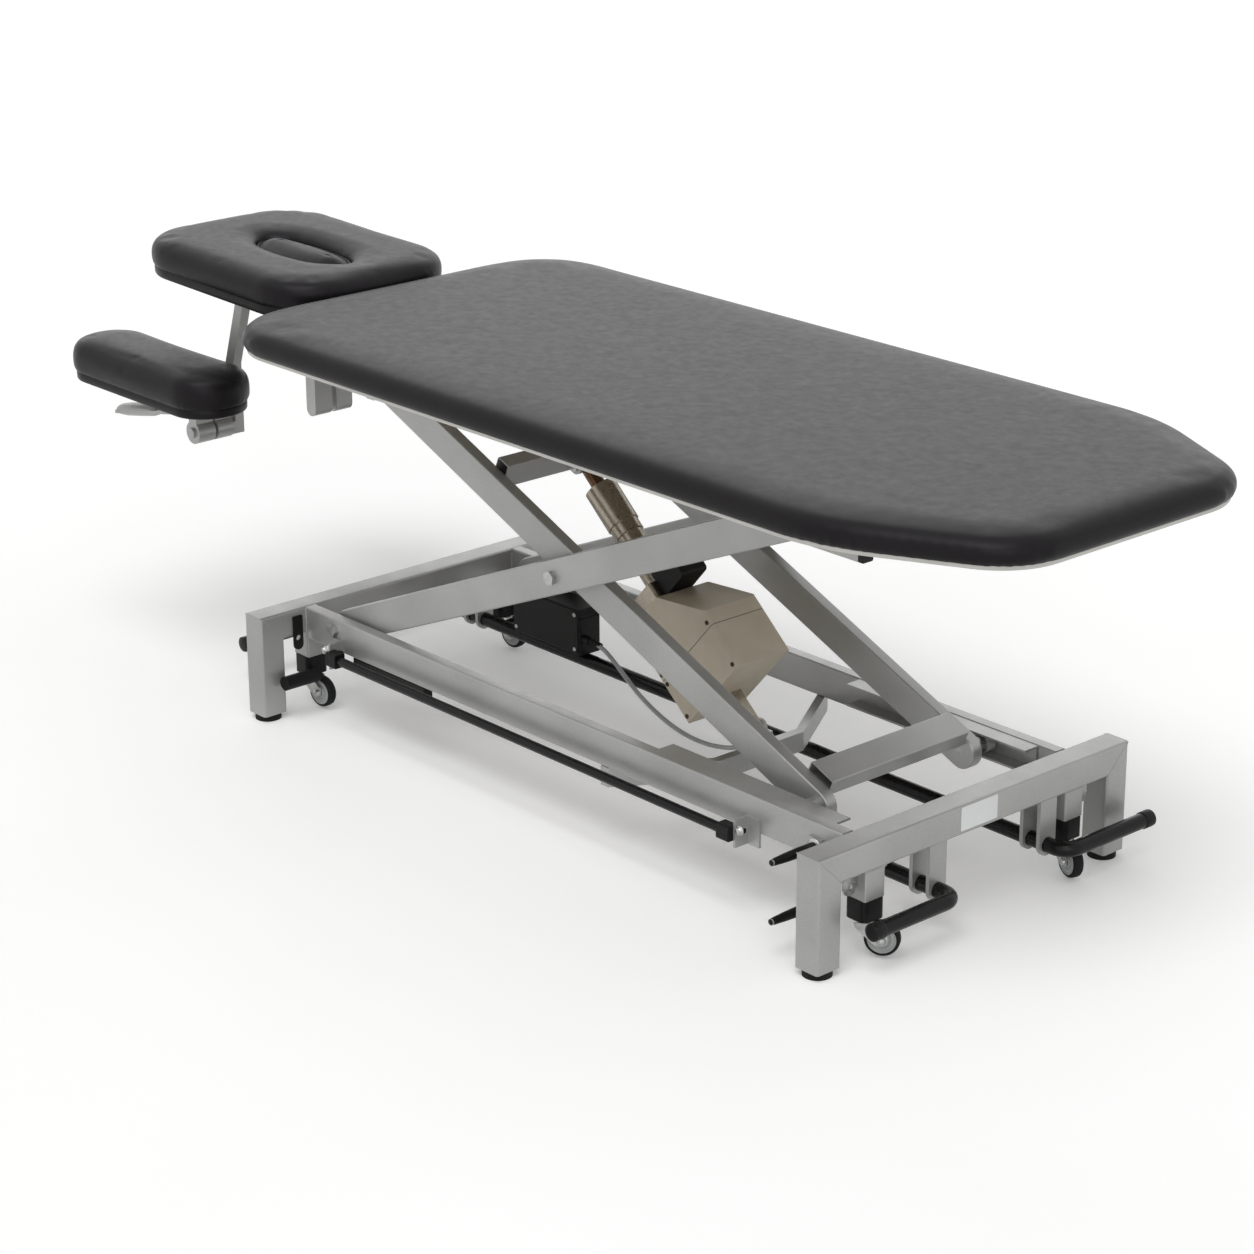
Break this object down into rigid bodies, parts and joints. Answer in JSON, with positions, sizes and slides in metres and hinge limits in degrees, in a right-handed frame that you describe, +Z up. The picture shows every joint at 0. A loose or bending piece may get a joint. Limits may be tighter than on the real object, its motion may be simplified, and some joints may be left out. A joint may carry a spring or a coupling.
{
  "type": "chiropractic table",
  "caption": "Height-adjustable treatment table: portal base, motor-driven scissor lift, padded top, tilting headrest with face opening, drop armrests and retractable casters.",
  "frame": {"origin": "on the floor, under the middle of the whole table's length and width", "axes": "+X from the head end to the foot end, +Y to the far side of the picture, +Z up"},
  "size_m": [1.983, 0.656, 0.6568],
  "materials": {
    "grey_paint": "satin powder coat",
    "black_paint": "satin black paint",
    "black_vinyl": "smooth upholstery vinyl, satin",
    "plywood": "raw plywood",
    "zinc_plate": "zinc plated",
    "steel": "drawn steel, machined",
    "bronze": "drawn, satin",
    "beige_plastic": "moulded, fine texture",
    "black_plastic": "moulded, fine texture",
    "rubber": "moulded",
    "wheel_grey": "moulded hub with a black tread",
    "grey_lead": "extruded sheath"
  },
  "bodies": {
    "base_frame": {"head_portal": "grey_paint", "foot_portal": "grey_paint", "leg_pads": "rubber", "base_rails": "grey_paint", "lower_channels": "grey_paint", "actuator_crossmember": "grey_paint", "actuator_bracket": "grey_paint", "base_pivot_bolts": "zinc_plate", "caster_stubs": "grey_paint", "pedal_hangers": "grey_paint", "control_box": "black_plastic", "foot_bar_switch": "black_plastic", "near_rail_brackets": "black_paint", "motor_lead": "grey_lead"},
    "outer_arms": {"outer_arms": "grey_paint", "outer_arm_pins": "zinc_plate"},
    "upper_rollers": {"upper_rollers": "black_plastic"},
    "inner_arms": {"inner_arms": "grey_paint", "inner_crossbars": "grey_paint", "inner_arm_pins": "zinc_plate"},
    "lower_rollers": {"lower_rollers": "black_plastic"},
    "deck": {"deck_rails": "grey_paint", "deck_crossmembers": "grey_paint", "rail_end_caps": "black_plastic", "deck_pivot_bolts": "zinc_plate", "headrest_hinge": "grey_paint", "head_end_brackets": "grey_paint", "main_board": "plywood", "main_pad": "black_vinyl"},
    "headrest": {"headrest_frame": "grey_paint", "headrest_board": "plywood", "headrest_pad": "black_vinyl", "armrest_hangers": "grey_paint"},
    "face_plug": {"face_plug": "black_vinyl"},
    "near_armrest": {"near_armrest_bracket": "grey_paint", "near_armrest_pad": "black_vinyl"},
    "near_lever": {"near_armrest_lever": "grey_paint"},
    "far_armrest": {"far_armrest_bracket": "grey_paint", "far_armrest_pad": "black_vinyl"},
    "far_lever": {"far_armrest_lever": "grey_paint"},
    "actuator": {"motor_case": "beige_plastic", "motor_cover": "beige_plastic", "spindle_drive": "steel", "actuator_tube": "steel", "limit_switch_box": "black_plastic"},
    "actuator_rod": {"actuator_rod": "bronze", "rod_sleeve": "steel"},
    "near_pedal": {"near_pedal": "black_paint"},
    "far_pedal": {"far_pedal": "black_paint"},
    "foot_casters": {"foot_caster_sleeves": "black_plastic"},
    "head_casters": {"head_caster_sleeves": "black_plastic"},
    "foot_bar": {"foot_bar": "black_paint"},
    "near_foot_fork": {"near_foot_caster_fork": "zinc_plate"},
    "near_foot_wheel": {"near_foot_caster_wheel": "wheel_grey"},
    "far_foot_fork": {"far_foot_caster_fork": "zinc_plate"},
    "far_foot_wheel": {"far_foot_caster_wheel": "wheel_grey"},
    "near_head_fork": {"near_head_caster_fork": "zinc_plate"},
    "near_head_wheel": {"near_head_caster_wheel": "wheel_grey"},
    "far_head_fork": {"far_head_caster_fork": "zinc_plate"},
    "far_head_wheel": {"far_head_caster_wheel": "wheel_grey"}
  },
  "joints": [
    {"name": "lift", "type": "hinge", "parent": "base_frame", "child": "outer_arms", "pos_m": [-0.3735, 0, 0.152], "axis": [0, -1, 0], "range_deg": [-8, 12]},
    {"name": "scissor", "type": "hinge", "parent": "outer_arms", "child": "inner_arms", "pos_m": [0.108, 0, 0.355], "axis": [0, -1, 0], "range_deg": [-24.1, 16.1]},
    {"name": "deck_pivot", "type": "hinge", "parent": "inner_arms", "child": "deck", "pos_m": [-0.3735, 0, 0.558], "axis": [0, -1, 0], "range_deg": [-8.1, 12.1]},
    {"name": "upper_roller_spin", "type": "hinge", "parent": "outer_arms", "child": "upper_rollers", "pos_m": [0.5895, 0, 0.558], "axis": [0, -1, 0], "range_deg": [-370, 250]},
    {"name": "lower_roller_spin", "type": "hinge", "parent": "inner_arms", "child": "lower_rollers", "pos_m": [0.5895, 0, 0.152], "axis": [0, -1, 0], "range_deg": [-250, 370]},
    {"name": "actuator_pivot", "type": "hinge", "parent": "base_frame", "child": "actuator", "pos_m": [0.3145, 0, 0.138], "axis": [0, 1, 0], "range_deg": [-6.1, 9.1]},
    {"name": "rod_slide", "type": "slide", "parent": "actuator", "child": "actuator_rod", "axis": [-0.7504, 0, 0.6609], "range_m": [-0.0705, 0.1055]},
    {"name": "headrest_tilt", "type": "hinge", "parent": "deck", "child": "headrest", "pos_m": [-0.4975, 0, 0.572], "axis": [0, 1, 0], "range_deg": [-35, 10]},
    {"name": "face_plug_lift", "type": "slide", "parent": "headrest", "child": "face_plug", "axis": [0.0244, 0, 0.9997], "range_m": [0, 0.06]},
    {"name": "near_armrest_tilt", "type": "hinge", "parent": "headrest", "child": "near_armrest", "pos_m": [-0.7195, -0.2025, 0.386], "axis": [0, 1, 0], "range_deg": [-25, 10]},
    {"name": "near_lever_squeeze", "type": "hinge", "parent": "near_armrest", "child": "near_lever", "pos_m": [-0.7415, -0.2025, 0.412], "axis": [0, 1, 0], "range_deg": [0, 8], "stiffness_Nm_per_rad": 1, "springref_deg": -28.65},
    {"name": "far_armrest_tilt", "type": "hinge", "parent": "headrest", "child": "far_armrest", "pos_m": [-0.7195, 0.2025, 0.386], "axis": [0, 1, 0], "range_deg": [-25, 10]},
    {"name": "far_lever_squeeze", "type": "hinge", "parent": "far_armrest", "child": "far_lever", "pos_m": [-0.7415, 0.2025, 0.412], "axis": [0, 1, 0], "range_deg": [0, 8], "stiffness_Nm_per_rad": 1, "springref_deg": -28.65},
    {"name": "near_pedal_press", "type": "hinge", "parent": "base_frame", "child": "near_pedal", "pos_m": [0.7305, -0.075, 0.062], "axis": [1, 0, 0], "range_deg": [0, 8]},
    {"name": "far_pedal_press", "type": "hinge", "parent": "base_frame", "child": "far_pedal", "pos_m": [0.1305, 0.14, 0.062], "axis": [-1, 0, 0], "range_deg": [0, 8]},
    {"name": "foot_casters_drop", "type": "slide", "parent": "base_frame", "child": "foot_casters", "axis": [0, 0, -1], "range_m": [0, 0.0081]},
    {"name": "head_casters_drop", "type": "slide", "parent": "base_frame", "child": "head_casters", "axis": [0, 0, -1], "range_m": [0, 0.0081]},
    {"name": "near_foot_swivel", "type": "hinge", "parent": "foot_casters", "child": "near_foot_fork", "pos_m": [0.7265, -0.192, 0.05], "axis": [0, 0, 1], "continuous": true},
    {"name": "near_foot_spin", "type": "hinge", "parent": "near_foot_fork", "child": "near_foot_wheel", "pos_m": [0.74616, -0.17823, 0.027], "axis": [-0.5736, 0.8192, 0], "continuous": true},
    {"name": "far_foot_swivel", "type": "hinge", "parent": "foot_casters", "child": "far_foot_fork", "pos_m": [0.7265, 0.192, 0.05], "axis": [0, 0, 1], "continuous": true},
    {"name": "far_foot_spin", "type": "hinge", "parent": "far_foot_fork", "child": "far_foot_wheel", "pos_m": [0.74933, 0.18458, 0.027], "axis": [0.309, 0.9511, 0], "continuous": true},
    {"name": "near_head_swivel", "type": "hinge", "parent": "head_casters", "child": "near_head_fork", "pos_m": [-0.4655, -0.192, 0.05], "axis": [0, 0, 1], "continuous": true},
    {"name": "near_head_spin", "type": "hinge", "parent": "near_head_fork", "child": "near_head_wheel", "pos_m": [-0.44163, -0.18949, 0.027], "axis": [-0.1045, 0.9945, 0], "continuous": true},
    {"name": "far_head_swivel", "type": "hinge", "parent": "head_casters", "child": "far_head_fork", "pos_m": [-0.4655, 0.192, 0.05], "axis": [0, 0, 1], "continuous": true},
    {"name": "far_head_spin", "type": "hinge", "parent": "far_head_fork", "child": "far_head_wheel", "pos_m": [-0.44163, 0.19451, 0.027], "axis": [-0.1045, 0.9945, 0], "continuous": true},
    {"name": "foot_bar_press", "type": "hinge", "parent": "base_frame", "child": "foot_bar", "pos_m": [0.1305, -0.224, 0.121], "axis": [1, 0, 0], "range_deg": [-8, 8], "stiffness_Nm_per_rad": 8}
  ],
  "couplings": [
    {"joint": "scissor", "follows": "lift", "ratio": -2},
    {"joint": "deck_pivot", "follows": "lift", "ratio": 1},
    {"joint": "upper_roller_spin", "follows": "lift", "ratio": -30.6},
    {"joint": "lower_roller_spin", "follows": "lift", "ratio": 30.6},
    {"joint": "actuator_pivot", "follows": "lift", "ratio": 0.75},
    {"joint": "rod_slide", "follows": "lift", "m_per_rad": 0.5},
    {"joint": "foot_casters_drop", "follows": "near_pedal_press", "m_per_rad": 0.0573},
    {"joint": "head_casters_drop", "follows": "far_pedal_press", "m_per_rad": 0.0573}
  ]
}
